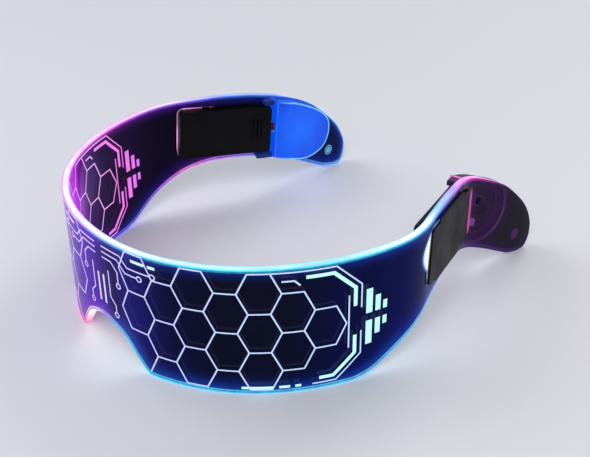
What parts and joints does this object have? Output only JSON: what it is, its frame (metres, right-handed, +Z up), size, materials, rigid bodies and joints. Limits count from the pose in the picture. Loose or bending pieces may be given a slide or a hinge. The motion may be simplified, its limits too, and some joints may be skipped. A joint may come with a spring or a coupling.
{
  "type": "light up party glasses",
  "caption": "Wrap-around visor glasses cut from one clear bent sheet, with a battery case and a lamp unit in each temple that light the sheet's edges.",
  "frame": {"origin": "centre of the box round the glasses, on the table that they stand on", "axes": "+Z up, the nose and lenses towards -Y, the temple tips towards +Y, +X to the wearer's left"},
  "size_m": [0.1534, 0.174, 0.0507],
  "materials": {
    "clear_acrylic": "clear, cut edges lit",
    "black_plastic": "satin moulded",
    "button_black": "satin moulded",
    "frosted_plastic": "frosted, lit from inside",
    "cell_steel": "nickel plated",
    "tinned_contact": "tinned",
    "copper_foil": "foil",
    "board_green": "solder mask",
    "chip_black": "matte",
    "led_lens": "clear epoxy"
  },
  "bodies": {
    "visor": {"visor_band": "clear_acrylic", "battery_case_L": "black_plastic", "coin_cell_front_L": "cell_steel", "coin_cell_rear_L": "cell_steel", "cell_contact_front_L": "tinned_contact", "cell_contact_rear_L": "tinned_contact", "flex_strip_L": "copper_foil", "led_upper_L": "led_lens", "led_lower_L": "led_lens", "led_tail_L": "led_lens", "lamp_housing_L": "frosted_plastic", "lamp_diffuser_L": "frosted_plastic", "circuit_board_L": "board_green", "controller_chip_L": "chip_black", "switch_body_L": "chip_black", "battery_case_R": "black_plastic", "coin_cell_front_R": "cell_steel", "coin_cell_rear_R": "cell_steel", "cell_contact_front_R": "tinned_contact", "cell_contact_rear_R": "tinned_contact", "flex_strip_R": "copper_foil", "led_upper_R": "led_lens", "led_lower_R": "led_lens", "led_tail_R": "led_lens", "lamp_housing_R": "frosted_plastic", "lamp_diffuser_R": "frosted_plastic", "circuit_board_R": "board_green", "controller_chip_R": "chip_black", "switch_body_R": "chip_black"},
    "battery_door_left": {"battery_door_L": "black_plastic", "bridge_contact_L": "tinned_contact"},
    "power_button_left": {"button_cap_L": "button_black"},
    "battery_door_right": {"battery_door_R": "black_plastic", "bridge_contact_R": "tinned_contact"},
    "power_button_right": {"button_cap_R": "button_black"}
  },
  "joints": [
    {"name": "battery_door_lift_left", "type": "slide", "parent": "visor", "child": "battery_door_left", "axis": [-0.9272, -0.3746, 0], "range_m": [0, 0.012]},
    {"name": "power_button_press_left", "type": "slide", "parent": "visor", "child": "power_button_left", "axis": [-1, -0.0035, 0], "range_m": [0, 0.0006], "stiffness_N_per_m": 400, "springref_m": -0.0005},
    {"name": "battery_door_lift_right", "type": "slide", "parent": "visor", "child": "battery_door_right", "axis": [0.9272, -0.3746, 0], "range_m": [0, 0.012]},
    {"name": "power_button_press_right", "type": "slide", "parent": "visor", "child": "power_button_right", "axis": [1, -0.0035, 0], "range_m": [0, 0.0006], "stiffness_N_per_m": 400, "springref_m": -0.0005}
  ]
}
